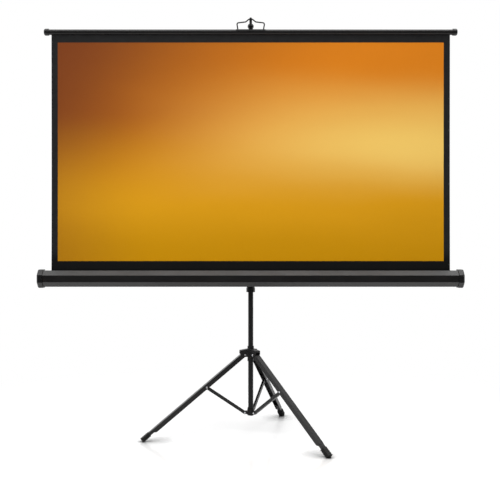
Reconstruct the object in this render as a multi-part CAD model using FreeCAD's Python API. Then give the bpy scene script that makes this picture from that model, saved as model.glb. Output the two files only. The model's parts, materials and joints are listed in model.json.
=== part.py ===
import FreeCAD, Part
import math
import os

# Tripod projection screen, pulled up out of its case and hooked on the mast.
# Millimetres. X runs along the case, Y points away from the viewer, Z is up.
# Pieces are drawn round the pole axis with the floor at zero, and the finished
# set is moved along Y so that the origin is the middle of the footprint.

V = FreeCAD.Vector
AXIS_X = V(1, 0, 0)
AXIS_Y = V(0, 1, 0)
AXIS_Z = V(0, 0, 1)
ALIGNED = 0.9

# Clearances
RUNNING_FIT = 0.06
SLIDING_GAP = 0.1
FREE_GAP = 0.3
BOLT_END_GAP = 1.5

# Telescopic pole
POLE_D = 25.0
POLE_WALL = 1.2
POLE_BOTTOM = 107.0
POLE_TOP = 736.0
COLUMN_D = 22.0
COLUMN_WALL = 1.2
COLUMN_BOTTOM = 300.0
COLUMN_TOP = 1128.0
MAST_D = 19.0
MAST_WALL = 1.0
MAST_BOTTOM = 980.0
BUSH_LENGTH = 20.0
PLUG_FLANGE = 2.0
PLUG_DEPTH = 14.0

# Clamp collars with their knobs
HEIGHT_CLAMP_D = 43.0
MAST_CLAMP_D = 38.0
CLAMP_HEIGHT = 28.0
CLAMP_LIP = 3.0
CLAMP_SHOULDER = 18.0
CLAMP_BROW = 7.0
CLAMP_BROW_INSET = 2.4
CLAMP_BOSS_WIDTH = 18.0
CLAMP_BOSS_REACH = 9.0
STUD_D = 6.0
STUD_HOLE_D = 7.0
STUD_IN_KNOB = 9.0
KNOB_D = 32.0
KNOB_HEIGHT = 15.0
KNOB_RISE = 10.6
KNOB_CHAMFER = 1.5
KNOB_LOBES = 6
KNOB_SCALLOP_D = 9.0

# Tripod
LEG_AZIMUTHS = {"left": 191.0, "right": 311.0, "rear": 71.0}
PIVOT_RADIUS = 30.0
HUB_PIVOT_Z = 404.0
LEG_SPREAD = 51.0
BOOT_WEAR = 3.7
LEG_WIDTH = 26.0
LEG_WALL = 1.5
LEG_WEB_OFFSET = 14.0
LEG_EDGE_OFFSET = 8.0
LEG_HEEL = 10.0
LEG_HEEL_CORNER = 6.0
LEG_TONGUE = 68.0
LEG_END_ROUND = 14.0
KNEE_DISTANCE = 244.0
BRACE_WIDTH = 11.0
BRACE_DEPTH = 15.5
BRACE_WALL = 1.5
INSERT_WIDTH = 21.0
INSERT_DEPTH = 14.5
INSERT_LAP = 42.0
INSERT_CORNER = 2.0
BOOT_LENGTH = 46.0
BOOT_WALL = 3.0
BOOT_RIBS = 5
BOOT_RIB_HEIGHT = 1.4
BOOT_RIB_WIDTH = 3.4
BOOT_END_WALL = 10.0
BOOT_CORNER = 4.0
HUB_WALL = 3.4
HUB_BELOW = 32.0
HUB_ABOVE = 42.0
HUB_EAR = 2.5
HUB_EAR_REACH = 6.0
HUB_ROOF_RISE = 27.0
HUB_ROOF = 4.0
HUB_HOOD_REACH = 25.0
HUB_HOOD_FALL = 9.0
HUB_HOOD_DEPTH = 21.0
HUB_HOOD_CORNER = 5.0
HUB_HOOD_ROUND = 2.5
HUB_APRON = 14.0
COLLAR_WALL = 4.5
COLLAR_HEIGHT = 37.0
COLLAR_PIVOT_RISE = 13.0
COLLAR_EAR = 2.2
COLLAR_SHOULDER = 14.0
COLLAR_EAR_REACH = 6.5
COLLAR_EAR_TOP = 8.0
COLLAR_EAR_DROP = 7.0
COLLAR_EAR_CORNER = 6.0
HUB_RIVET_D = 7.0
BRACE_RIVET_D = 6.0
RIVET_HEAD_D = 10.0
RIVET_HEAD = 2.2
RIVET_CROWN_D = 6.6

# Case
CASE_Y = -80.0
CASE_FLATS = 78.0
CASE_WALL = 1.5
CASE_OVERHANG = 31.0
SLOT_WIDTH = 6.0
CAP_FLATS = 88.0
CAP_SKIRT = 20.0
CAP_FACE = 5.0
CAP_TAPER = 8.0
CAP_NUB_D = 17.0
CAP_NUB = 8.0
CAP_NUB_ROUND = 2.0
CAP_BOSS_D = 24.0
CAP_BOSS = 10.0
BRACKET_D = 40.0
BRACKET_HEIGHT = 82.0
BRACKET_CHAMFER = 3.0
PIVOT_BOSS_D = 34.0
PIVOT_WASHER = 2.0
PIVOT_PLATE_LENGTH = 120.0
PIVOT_PLATE_HEIGHT = 30.0
PIVOT_PLATE = 4.0
PIVOT_PLATE_CORNER = 7.5
PIVOT_BOLT_D = 8.0
PIVOT_HEAD_FLATS = 13.0
PIVOT_HEAD = 4.0

# Spring roller
ROLLER_D = 30.0
ROLLER_WALL = 1.2
ROLLER_OVERHANG = 26.0
ROLLER_PLUG = 40.0
PLUG_RIM = 3.0
AXLE_D = 10.0
SPRING_SHAFT_LENGTH = 700.0
IDLER_LENGTH = 70.0
SPRING_D = 20.0
SPRING_LENGTH = 600.0
ROLL_THICKNESS = 1.4

# Screen fabric, slat and bail
SLOT_OFFSET = 4.0
FABRIC = 0.6
FABRIC_WIDTH = 1918.0
FABRIC_SEAT = 17.0
FABRIC_SHOWN = 1134.0
SLAT_D = 26.0
SLAT_WALL = 1.3
SLAT_OVERHANG = 13.0
SLAT_GROOVE = 3.0
SLAT_CAP_D = 33.0
SLAT_CAP_LENGTH = 22.0
SLAT_CAP_SPIGOT = 11.0
SLAT_CAP_ROUND = 8.0
HEM_ROD_D = 6.0
BAIL_WIRE_D = 6.0
BAIL_HALF_WIDTH = 67.0
BAIL_SHOULDER = 31.5
BAIL_SHOULDER_RISE = 5.0
BAIL_CREST = 49.0
BAIL_CREST_HALF = 9.0
BAIL_RAMP = 15.0
BAIL_FOOT_HALF = 61.0
BAIL_FOOT_LENGTH = 20.0
BAIL_FOOT_BEND = 4.5
BAIL_BEND = 8.0
BAIL_RAMP_BEND = 5.0
BAIL_SLOT_LENGTH = 12.0
BAIL_SLOT_PLAY = 0.9
CLIP_PLATE = 1.2
CLIP_PLATE_LENGTH = 142.0
CLIP_PLATE_DROP = 11.0

# Mast head and hook
BALL_D = 30.0
BALL_DROP = 2.0
BALL_NECK_D = 21.0
BALL_NECK = 8.0
BALL_SEAT = 7.0
HOOK_D = 13.0
HOOK_REACH = 11.0
HOOK_BEND = 9.0
HOOK_TIP = 9.5

# Worked out from the values above
POLE_BORE = POLE_D - 2 * POLE_WALL
COLUMN_BORE = COLUMN_D - 2 * COLUMN_WALL
MAST_BORE = MAST_D - 2 * MAST_WALL
SPREAD = math.radians(LEG_SPREAD)
COLLAR_PIVOT_Z = POLE_BOTTOM + COLLAR_PIVOT_RISE
BRACE_COLLAR_D = POLE_D + 2 * COLLAR_WALL
BRACE_COLLAR_TOP = POLE_BOTTOM + COLLAR_HEIGHT
HUB_D = POLE_D + 2 * HUB_WALL
HUB_BOTTOM = HUB_PIVOT_Z - HUB_BELOW
HUB_TOP = HUB_PIVOT_Z + HUB_ABOVE
HUB_ROOF_Z = HUB_PIVOT_Z + HUB_ROOF_RISE
KNEE_OUT = KNEE_DISTANCE * math.sin(SPREAD)
KNEE_RISE = HUB_PIVOT_Z - COLLAR_PIVOT_Z - KNEE_DISTANCE * math.cos(SPREAD)
BRACE_LENGTH = math.hypot(KNEE_OUT, KNEE_RISE)
BRACE_LEAN = math.degrees(math.atan2(KNEE_OUT, KNEE_RISE))
LEG_INSIDE = LEG_WIDTH - 2 * LEG_WALL
HUB_GAP = LEG_WIDTH + 2 * FREE_GAP
COLLAR_GAP = BRACE_WIDTH + 2 * FREE_GAP
INSERT_TOP_OFFSET = LEG_WEB_OFFSET - LEG_WALL
INSERT_BASE_OFFSET = INSERT_TOP_OFFSET - INSERT_DEPTH
BOOT_BASE_OFFSET = INSERT_BASE_OFFSET - BOOT_WALL - BOOT_RIB_HEIGHT
LEG_DROP = HUB_PIVOT_Z + BOOT_BASE_OFFSET * math.sin(SPREAD) + BOOT_WEAR
LEG_LENGTH = LEG_DROP / math.cos(SPREAD)
LEG_FLANGE_END = LEG_LENGTH - LEG_TONGUE
INSERT_END = LEG_LENGTH - BOOT_END_WALL
BOOT_START = LEG_LENGTH - BOOT_LENGTH
CLAMP_BASE = POLE_TOP + CLAMP_LIP - CLAMP_HEIGHT
MAST_CLAMP_BASE = COLUMN_TOP + CLAMP_LIP - CLAMP_HEIGHT
BRACKET_BOTTOM = POLE_TOP + CLAMP_LIP + FREE_GAP
CASE_Z = BRACKET_BOTTOM + BRACKET_HEIGHT / 2
CASE_BACK = CASE_Y + CASE_FLATS / 2
CASE_TOP = CASE_Z + CASE_FLATS / 2
SCREEN_Y = CASE_Y - SLOT_OFFSET
ROLLER_LENGTH = FABRIC_WIDTH + 2 * ROLLER_OVERHANG
CASE_LENGTH = ROLLER_LENGTH + 2 * CASE_OVERHANG
ROLL_D = ROLLER_D + 2 * ROLL_THICKNESS
ROLLER_Y = SCREEN_Y + FABRIC / 2 + FREE_GAP + ROLL_D / 2
SLAT_LENGTH = FABRIC_WIDTH + 2 * SLAT_OVERHANG
SLAT_Z = CASE_TOP + FABRIC_SHOWN + SLAT_D / 2
SLAT_TOP = SLAT_Z + SLAT_D / 2
HEM_ROD_Z = SLAT_Z - SLAT_D / 2 + FABRIC_SEAT - HEM_ROD_D / 2 + FREE_GAP
BAIL_FOOT_Z = SLAT_TOP - SLAT_WALL - FREE_GAP - BAIL_WIRE_D / 2
WIRE_Z = SLAT_TOP + BAIL_CREST
HOOK_Z = WIRE_Z - BAIL_WIRE_D / 2 - FREE_GAP - HOOK_D / 2
BALL_Z = HOOK_Z - BALL_DROP
MAST_TOP = BALL_Z - BALL_SEAT
BOLT_END_Y = -COLUMN_D / 2 - BOLT_END_GAP


def ring(outer, inner, bottom, top):
    """Upright tube or collar."""
    base = V(0, 0, bottom)
    body = Part.makeCylinder(outer / 2, top - bottom, base)
    return body.cut(Part.makeCylinder(inner / 2, top - bottom, base))


def rod(diameter, start, end):
    """Round bar between two points."""
    way = end - start
    return Part.makeCylinder(diameter / 2, way.Length, start, way)


def block(low, high):
    """Box from its two corners."""
    return Part.makeBox(high.x - low.x, high.y - low.y, high.z - low.z, low)


def polygon(points):
    """Flat face from corner points."""
    return Part.Face(Part.makePolygon(points + [points[0]]))


def edges_along(shape, axis):
    """Edges that start along an axis."""
    return [e for e in shape.Edges if abs(e.tangentAt(e.FirstParameter).dot(axis)) > ALIGNED]


def octagon(flats, x):
    """Regular octagon square to X, with flats at the front, back, top and bottom."""
    reach = flats / 2 / math.cos(math.pi / 8)
    corners = []
    for k in range(8):
        turn = math.pi / 8 + k * math.pi / 4
        corners.append(V(x, CASE_Y + reach * math.cos(turn), CASE_Z + reach * math.sin(turn)))
    return Part.makePolygon(corners + [corners[0]])


def rounded_path(points, radii):
    """Wire of straight runs joined by tangent arcs, one radius for each inner corner."""
    edges = []
    start = points[0]
    for before, corner, after, radius in zip(points, points[1:], points[2:], radii):
        back = (before - corner).normalize()
        ahead = (after - corner).normalize()
        half = back.getAngle(ahead) / 2
        reach = radius / math.tan(half)
        entry = corner + back * reach
        leave = corner + ahead * reach
        inward = (back + ahead).normalize()
        middle = corner + inward * (radius / math.sin(half) - radius)
        edges.append(Part.LineSegment(start, entry).toShape())
        edges.append(Part.Arc(entry, middle, leave).toShape())
        start = leave
    edges.append(Part.LineSegment(start, points[-1]).toShape())
    return Part.Wire(edges)


def bent_rod(diameter, points, radii):
    """Round wire or rod swept along straight runs and tangent arcs."""
    path = rounded_path(points, radii)
    section = Part.Wire(Part.makeCircle(diameter / 2, points[0], points[1] - points[0]))
    return path.makePipeShell([section], True, False)


def revolved(outline):
    """Solid of revolution about the pole axis from radius and height pairs."""
    face = polygon([V(radius, 0, height) for radius, height in outline])
    return face.revolve(V(0, 0, 0), AXIS_Z, 360)


def at_azimuth(shape, azimuth):
    """Turns a piece drawn on the +X side round to its place about the pole."""
    turned = shape.copy()
    turned.rotate(V(0, 0, 0), AXIS_Z, azimuth)
    return turned


def rounded_bar(width, depth, low, high, corner):
    """Upright bar with rounded long edges, low and high being its middle points."""
    bar = block(low - V(depth / 2, width / 2, 0), high + V(depth / 2, width / 2, 0))
    return bar.makeFillet(corner, edges_along(bar, AXIS_Z))


# Telescopic pole
def pole_tube():
    tube = ring(POLE_D, POLE_BORE, POLE_BOTTOM, POLE_TOP)
    hole_z = CLAMP_BASE + KNOB_RISE
    return tube.cut(rod(STUD_HOLE_D, V(0, 0, hole_z), V(0, POLE_D, hole_z)))


def pole_end_plug():
    flange = Part.makeCylinder(POLE_D / 2, PLUG_FLANGE, V(0, 0, POLE_BOTTOM - PLUG_FLANGE))
    spigot = Part.makeCylinder(POLE_BORE / 2, PLUG_DEPTH, V(0, 0, POLE_BOTTOM))
    return flange.fuse(spigot).removeSplitter()


def column_tube():
    tube = ring(COLUMN_D, COLUMN_BORE, COLUMN_BOTTOM, COLUMN_TOP)
    hole_z = MAST_CLAMP_BASE + KNOB_RISE
    return tube.cut(rod(STUD_HOLE_D, V(0, 0, hole_z), V(0, COLUMN_D, hole_z)))


def column_bush():
    outer = POLE_BORE - 2 * SLIDING_GAP
    return ring(outer, COLUMN_BORE, COLUMN_BOTTOM - BUSH_LENGTH, COLUMN_BOTTOM)


def mast_tube():
    return ring(MAST_D, MAST_BORE, MAST_BOTTOM, MAST_TOP)


def mast_bush():
    outer = COLUMN_BORE - 2 * SLIDING_GAP
    return ring(outer, MAST_BORE, MAST_BOTTOM - BUSH_LENGTH, MAST_BOTTOM)


def clamp_collar(diameter, base, seat_d, slide_d):
    """Domed collar on a tube's top end, with a threaded boss at the back for its knob."""
    shoulder = base + CLAMP_SHOULDER
    top = base + CLAMP_HEIGHT
    dome_d = seat_d + 2 * CLAMP_LIP
    outline = [(0, base), (diameter / 2, base), (diameter / 2, shoulder)]
    brow = (diameter / 2 - CLAMP_BROW_INSET, shoulder + CLAMP_BROW)
    outline += [brow, (dome_d / 2, top), (0, top)]
    body = revolved(outline)
    boss_z = base + KNOB_RISE
    boss_end = V(0, diameter / 2 + CLAMP_BOSS_REACH, boss_z)
    body = body.fuse(rod(CLAMP_BOSS_WIDTH, V(0, seat_d / 2, boss_z), boss_end))
    body = body.cut(Part.makeCylinder(seat_d / 2, CLAMP_HEIGHT - CLAMP_LIP, V(0, 0, base)))
    body = body.cut(Part.makeCylinder(slide_d / 2 + FREE_GAP, CLAMP_HEIGHT, V(0, 0, base)))
    return body.cut(rod(STUD_D + 2 * RUNNING_FIT, V(0, 0, boss_z), boss_end)).removeSplitter()


def clamp_stud(diameter, base, slide_d):
    """Threaded stud that bears on the sliding tube."""
    z = base + KNOB_RISE
    tip = V(0, slide_d / 2 + FREE_GAP, z)
    end = V(0, diameter / 2 + CLAMP_BOSS_REACH + FREE_GAP + STUD_IN_KNOB, z)
    return rod(STUD_D, tip, end)


def clamp_knob(diameter, base):
    """Lobed knob on the stud, with a blind hole for it."""
    z = base + KNOB_RISE
    start = diameter / 2 + CLAMP_BOSS_REACH + FREE_GAP
    knob = rod(KNOB_D, V(0, start, z), V(0, start + KNOB_HEIGHT, z))
    knob = knob.makeChamfer(KNOB_CHAMFER, [e for e in knob.Edges if e.Closed])
    for k in range(KNOB_LOBES):
        turn = 2 * math.pi * k / KNOB_LOBES
        reach = KNOB_D / 2 + KNOB_SCALLOP_D / 4
        place = V(reach * math.cos(turn), start, z + reach * math.sin(turn))
        knob = knob.cut(rod(KNOB_SCALLOP_D, place, place + V(0, KNOB_HEIGHT, 0)))
    return knob.cut(rod(STUD_D, V(0, start, z), V(0, start + STUD_IN_KNOB, z)))


# Tripod
def hub_hood():
    """One arm of the hub: two ears under a sloping hood with an apron across its front."""
    half = HUB_GAP / 2 + HUB_EAR
    low = HUB_PIVOT_Z - RIVET_HEAD_D
    front = PIVOT_RADIUS + HUB_HOOD_REACH
    crown = HUB_ROOF_Z + HUB_ROOF
    side = polygon([V(0, -half, low), V(PIVOT_RADIUS + HUB_EAR_REACH, -half, low),
                    V(front, -half, HUB_ROOF_Z - HUB_HOOD_DEPTH),
                    V(front, -half, crown - HUB_HOOD_FALL), V(0, -half, crown)])
    arm = side.extrude(V(0, 2 * half, 0))
    tips = [e for e in edges_along(arm, AXIS_Z) if e.CenterOfMass.x > PIVOT_RADIUS]
    arm = arm.makeFillet(HUB_HOOD_CORNER, tips)
    rim = [e for e in arm.Edges if e.CenterOfMass.z > crown - HUB_HOOD_FALL - HUB_HOOD_ROUND
           and e.CenterOfMass.x > HUB_D / 2]
    return arm.makeFillet(HUB_HOOD_ROUND, rim)


def hub_hollow():
    """Room for a leg's heel under one hood, and for the leg below its apron."""
    front = PIVOT_RADIUS + HUB_HOOD_REACH
    back = front - HUB_ROOF
    inside = HUB_GAP / 2
    apron_z = HUB_ROOF_Z - HUB_APRON
    side = polygon([V(0, -inside, HUB_BOTTOM), V(front, -inside, HUB_BOTTOM), V(front, -inside, apron_z),
                    V(back, -inside, apron_z), V(back, -inside, HUB_ROOF_Z - HUB_HOOD_FALL * back / front),
                    V(0, -inside, HUB_ROOF_Z)])
    return side.extrude(V(0, 2 * inside, 0))


def leg_hub():
    """Sliding sleeve with three hooded clevises."""
    sleeve = Part.makeCylinder(HUB_D / 2, HUB_TOP - HUB_BOTTOM, V(0, 0, HUB_BOTTOM))
    half = HUB_GAP / 2 + HUB_EAR
    body = sleeve
    for azimuth in LEG_AZIMUTHS.values():
        body = body.fuse(at_azimuth(hub_hood(), azimuth))
    for azimuth in LEG_AZIMUTHS.values():
        body = body.cut(at_azimuth(hub_hollow().cut(sleeve), azimuth))
        pin = rod(HUB_RIVET_D, V(PIVOT_RADIUS, -half, HUB_PIVOT_Z), V(PIVOT_RADIUS, half, HUB_PIVOT_Z))
        body = body.cut(at_azimuth(pin, azimuth))
    bore = Part.makeCylinder(POLE_D / 2 + SLIDING_GAP, HUB_TOP - HUB_BOTTOM, V(0, 0, HUB_BOTTOM))
    return body.cut(bore).removeSplitter()


def domed_rivet(diameter, half, centre):
    """Rivet along Y with a flat domed head outside each ear."""
    shank = rod(diameter, centre - V(0, half, 0), centre + V(0, half, 0))
    for side in (-1, 1):
        head = Part.makeCone(RIVET_HEAD_D / 2, RIVET_CROWN_D / 2, RIVET_HEAD,
                             centre + V(0, side * half, 0), V(0, side, 0))
        shank = shank.fuse(head)
    return shank.removeSplitter()


def hub_rivets():
    rivets = []
    for azimuth in LEG_AZIMUTHS.values():
        centre = V(PIVOT_RADIUS, 0, HUB_PIVOT_Z)
        rivets.append(at_azimuth(domed_rivet(HUB_RIVET_D, HUB_GAP / 2 + HUB_EAR, centre), azimuth))
    return Part.makeCompound(rivets)


def brace_collar():
    """Fixed collar at the pole's foot with three pairs of parallel ears, open below."""
    outline = [(POLE_D / 2, POLE_BOTTOM), (BRACE_COLLAR_D / 2, POLE_BOTTOM)]
    outline += [(BRACE_COLLAR_D / 2, COLLAR_PIVOT_Z + COLLAR_SHOULDER)]
    outline += [(POLE_D / 2 + COLLAR_EAR, BRACE_COLLAR_TOP), (POLE_D / 2, BRACE_COLLAR_TOP)]
    body = revolved(outline)
    bore = Part.makeCylinder(POLE_D / 2, BRACE_COLLAR_TOP - POLE_BOTTOM, V(0, 0, POLE_BOTTOM))
    for azimuth in LEG_AZIMUTHS.values():
        for side in (-1, 1):
            inner = side * COLLAR_GAP / 2
            outer = side * (COLLAR_GAP / 2 + COLLAR_EAR)
            end = PIVOT_RADIUS + COLLAR_EAR_REACH
            low = COLLAR_PIVOT_Z - COLLAR_EAR_DROP
            top = COLLAR_PIVOT_Z + COLLAR_EAR_TOP
            ear = block(V(0, min(inner, outer), low), V(end, max(inner, outer), top))
            corners = [e for e in edges_along(ear, AXIS_Y) if e.CenterOfMass.x > PIVOT_RADIUS]
            ear = ear.makeFillet(COLLAR_EAR_CORNER, corners)
            ear = ear.cut(rod(BRACE_RIVET_D, V(PIVOT_RADIUS, -end, COLLAR_PIVOT_Z),
                              V(PIVOT_RADIUS, end, COLLAR_PIVOT_Z)))
            body = body.fuse(at_azimuth(ear, azimuth).cut(bore))
    return body.removeSplitter()


def collar_rivets():
    """Headed rivet ends, one in each ear of the brace collar."""
    stubs = []
    for azimuth in LEG_AZIMUTHS.values():
        for side in (-1, 1):
            inner = V(PIVOT_RADIUS, side * COLLAR_GAP / 2, COLLAR_PIVOT_Z)
            outer = inner + V(0, side * COLLAR_EAR, 0)
            head = Part.makeCone(RIVET_HEAD_D / 2, RIVET_CROWN_D / 2, RIVET_HEAD, outer, V(0, side, 0))
            stubs.append(at_azimuth(rod(BRACE_RIVET_D, inner, outer).fuse(head), azimuth))
    return Part.makeCompound(stubs)


def spread(shape, azimuth):
    """Swings a piece drawn on a hanging leg out to its open place."""
    opened = shape.copy()
    opened.rotate(V(0, 0, 0), AXIS_Y, -LEG_SPREAD)
    opened.translate(V(PIVOT_RADIUS, 0, HUB_PIVOT_Z))
    return at_azimuth(opened, azimuth)


def leg_channel():
    """Channel leg hanging from its pivot at the origin, open towards the pole."""
    half = LEG_WIDTH / 2
    side = block(V(-LEG_EDGE_OFFSET, -half, -LEG_FLANGE_END), V(LEG_WEB_OFFSET, half, LEG_HEEL))
    end_edge = [e for e in edges_along(side, AXIS_Y) if e.CenterOfMass.x < 0 and e.CenterOfMass.z < 0]
    side = side.makeFillet(LEG_END_ROUND, end_edge)
    heel_edges = [e for e in edges_along(side, AXIS_Y) if e.CenterOfMass.z > 0]
    side = side.makeFillet(LEG_HEEL_CORNER, heel_edges)
    hollow = block(V(-LEG_EDGE_OFFSET, -LEG_INSIDE / 2, -LEG_FLANGE_END),
                   V(LEG_WEB_OFFSET - LEG_WALL, LEG_INSIDE / 2, LEG_HEEL))
    tongue = block(V(LEG_WEB_OFFSET - LEG_WALL, -INSERT_WIDTH / 2, -BOOT_START),
                   V(LEG_WEB_OFFSET, INSERT_WIDTH / 2, -LEG_FLANGE_END))
    channel = side.cut(hollow).fuse(tongue).removeSplitter()
    channel = channel.cut(rod(HUB_RIVET_D + 2 * RUNNING_FIT, V(0, -half, 0), V(0, half, 0)))
    return channel.cut(rod(BRACE_RIVET_D, V(0, -half, -KNEE_DISTANCE), V(0, half, -KNEE_DISTANCE)))


def leg_insert():
    """Block pressed into the leg's end, which carries the rubber boot."""
    middle = (INSERT_TOP_OFFSET + INSERT_BASE_OFFSET) / 2
    low = V(middle, 0, -INSERT_END)
    high = V(middle, 0, -LEG_FLANGE_END + INSERT_LAP)
    tongue = rounded_bar(INSERT_WIDTH, INSERT_DEPTH, low, high, INSERT_CORNER)
    root = block(V(INSERT_BASE_OFFSET, -LEG_INSIDE / 2, -LEG_FLANGE_END),
                 V(INSERT_TOP_OFFSET, LEG_INSIDE / 2, -LEG_FLANGE_END + INSERT_LAP))
    return tongue.fuse(root).removeSplitter()


def leg_boot():
    """Ribbed rubber boot."""
    middle = (INSERT_TOP_OFFSET + INSERT_BASE_OFFSET) / 2
    width = INSERT_WIDTH + 2 * BOOT_WALL
    depth = INSERT_DEPTH + 2 * BOOT_WALL
    boot = rounded_bar(width, depth, V(middle, 0, -LEG_LENGTH), V(middle, 0, -BOOT_START), BOOT_CORNER)
    pitch = (BOOT_LENGTH - BOOT_RIB_WIDTH) / (BOOT_RIBS - 1)
    for k in range(BOOT_RIBS):
        top = -BOOT_START - k * pitch
        rib = rounded_bar(width + 2 * BOOT_RIB_HEIGHT, depth + 2 * BOOT_RIB_HEIGHT,
                          V(middle, 0, top - BOOT_RIB_WIDTH), V(middle, 0, top), BOOT_CORNER)
        boot = boot.fuse(rib)
    return boot.cut(leg_insert()).removeSplitter()


def floor_cut(shape, azimuth):
    """Opened boot with its worn flat on the floor."""
    placed = spread(shape, azimuth)
    size = 2 * LEG_LENGTH
    return placed.cut(block(V(-size, -size, -size), V(size, size, 0)))


def knee_rivet():
    return domed_rivet(BRACE_RIVET_D, LEG_WIDTH / 2, V(0, 0, -KNEE_DISTANCE))


def brace_bar():
    """Channel brace hanging from its knee pivot at the origin, with round ends."""
    half = BRACE_WIDTH / 2
    reach = BRACE_DEPTH / 2
    bar = block(V(-reach, -half, -BRACE_LENGTH), V(reach, half, 0))
    for z in (0, -BRACE_LENGTH):
        bar = bar.fuse(rod(BRACE_DEPTH, V(0, -half, z), V(0, half, z)))
    inside = half - BRACE_WALL
    hollow = block(V(-reach, -inside, -BRACE_LENGTH + BRACE_DEPTH),
                   V(reach - BRACE_WALL, inside, -BRACE_DEPTH))
    bar = bar.cut(hollow)
    for z in (0, -BRACE_LENGTH):
        bar = bar.cut(rod(BRACE_RIVET_D + 2 * RUNNING_FIT, V(0, -half, z), V(0, half, z)))
    return bar.removeSplitter()


def placed_brace(azimuth):
    """Brace swung in from its knee to the collar."""
    bar = brace_bar()
    bar.rotate(V(0, 0, 0), AXIS_Y, BRACE_LEAN)
    bar.translate(V(PIVOT_RADIUS + KNEE_OUT, 0, COLLAR_PIVOT_Z + KNEE_RISE))
    return at_azimuth(bar, azimuth)


# Case and its swivel bracket
def case_shell():
    """Eight-sided tube with the fabric slot along its top flat."""
    outer = Part.Face(octagon(CASE_FLATS, -CASE_LENGTH / 2))
    inner = Part.Face(octagon(CASE_FLATS - 2 * CASE_WALL, -CASE_LENGTH / 2))
    shell = outer.cut(inner).extrude(V(CASE_LENGTH, 0, 0))
    half = FABRIC_WIDTH / 2 + SLOT_WIDTH
    slot = block(V(-half, SCREEN_Y - SLOT_WIDTH / 2, CASE_TOP - 2 * CASE_WALL),
                 V(half, SCREEN_Y + SLOT_WIDTH / 2, CASE_TOP + CASE_WALL))
    shell = shell.cut(slot)
    return shell.cut(rod(PIVOT_BOLT_D, V(0, CASE_BACK, CASE_Z), V(0, CASE_BACK - 2 * CASE_WALL, CASE_Z)))


def case_cap(side):
    """Moulded end cap: skirt over the tube, tapered face, axle seat inside and round nub outside."""
    end = CASE_LENGTH / 2
    skirt = Part.Face(octagon(CAP_FLATS, end - CAP_SKIRT)).extrude(V(CAP_SKIRT, 0, 0))
    skirt = skirt.cut(Part.Face(octagon(CASE_FLATS, end - CAP_SKIRT)).extrude(V(CAP_SKIRT, 0, 0)))
    face = Part.makeLoft([octagon(CAP_FLATS, end), octagon(CAP_FLATS - CAP_TAPER, end + CAP_FACE)], True)
    outside = V(end + CAP_FACE, ROLLER_Y, CASE_Z)
    nub = rod(CAP_NUB_D, outside, outside + V(CAP_NUB, 0, 0))
    rim = [e for e in nub.Edges if e.Closed and e.CenterOfMass.x > outside.x + CAP_NUB / 2]
    nub = nub.makeFillet(CAP_NUB_ROUND, rim)
    seat = V(end, ROLLER_Y, CASE_Z)
    boss = rod(CAP_BOSS_D, seat - V(CAP_BOSS, 0, 0), seat)
    cap = skirt.fuse([face, nub, boss]).cut(rod(AXLE_D, seat - V(CAP_BOSS, 0, 0), seat))
    cap = cap.removeSplitter()
    return cap if side > 0 else cap.mirror(V(0, 0, 0), AXIS_X)


def case_bracket():
    """Sleeve on the column with a forward boss for the case's swivel."""
    sleeve = Part.makeCylinder(BRACKET_D / 2, BRACKET_HEIGHT, V(0, 0, BRACKET_BOTTOM))
    sleeve = sleeve.makeChamfer(BRACKET_CHAMFER, [e for e in sleeve.Edges if e.Closed])
    face_y = CASE_BACK + PIVOT_PLATE + PIVOT_WASHER
    boss = rod(PIVOT_BOSS_D, V(0, 0, CASE_Z), V(0, face_y, CASE_Z))
    body = sleeve.fuse(boss)
    body = body.cut(Part.makeCylinder(COLUMN_D / 2, BRACKET_HEIGHT, V(0, 0, BRACKET_BOTTOM)))
    return body.cut(rod(PIVOT_BOLT_D, V(0, face_y, CASE_Z), V(0, BOLT_END_Y, CASE_Z)))


def pivot_washer():
    back = CASE_BACK + PIVOT_PLATE
    disc = rod(PIVOT_BOSS_D, V(0, back, CASE_Z), V(0, back + PIVOT_WASHER, CASE_Z))
    return disc.cut(rod(PIVOT_BOLT_D, V(0, back, CASE_Z), V(0, back + PIVOT_WASHER, CASE_Z)))


def pivot_plate():
    half = PIVOT_PLATE_LENGTH / 2
    low = V(-half, CASE_BACK, CASE_Z - PIVOT_PLATE_HEIGHT / 2)
    high = V(half, CASE_BACK + PIVOT_PLATE, CASE_Z + PIVOT_PLATE_HEIGHT / 2)
    plate = block(low, high)
    plate = plate.makeFillet(PIVOT_PLATE_CORNER, edges_along(plate, AXIS_Y))
    return plate.cut(rod(PIVOT_BOLT_D, V(0, low.y, CASE_Z), V(0, high.y, CASE_Z)))


def pivot_bolt():
    """Hex bolt from inside the case through the plate and washer into the bracket."""
    inside = CASE_BACK - CASE_WALL
    corners = []
    for k in range(6):
        reach = PIVOT_HEAD_FLATS / 2 / math.cos(math.pi / 6)
        turn = k * math.pi / 3
        corners.append(V(reach * math.cos(turn), inside - PIVOT_HEAD, CASE_Z + reach * math.sin(turn)))
    head = polygon(corners).extrude(V(0, PIVOT_HEAD, 0))
    shank = rod(PIVOT_BOLT_D, V(0, inside, CASE_Z), V(0, BOLT_END_Y, CASE_Z))
    return head.fuse(shank).removeSplitter()


# Spring roller
def axle_line(x):
    """Point on the roller's axis."""
    return V(x, ROLLER_Y, CASE_Z)


def sleeve_on_axle(outer, inner, start, end):
    """Tube along the roller's axis."""
    body = rod(outer, axle_line(start), axle_line(end))
    return body.cut(rod(inner, axle_line(start), axle_line(end)))


def roller_plug(side):
    """End plug: rim against the tube's end and spigot inside it, running on the axle."""
    end = ROLLER_LENGTH / 2
    bore = AXLE_D + 2 * RUNNING_FIT
    rim = sleeve_on_axle(ROLLER_D, bore, end, end + PLUG_RIM)
    spigot = sleeve_on_axle(ROLLER_D - 2 * ROLLER_WALL, bore, end - ROLLER_PLUG, end)
    plug = rim.fuse(spigot).removeSplitter()
    return plug if side > 0 else plug.mirror(V(0, 0, 0), AXIS_X)


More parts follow.
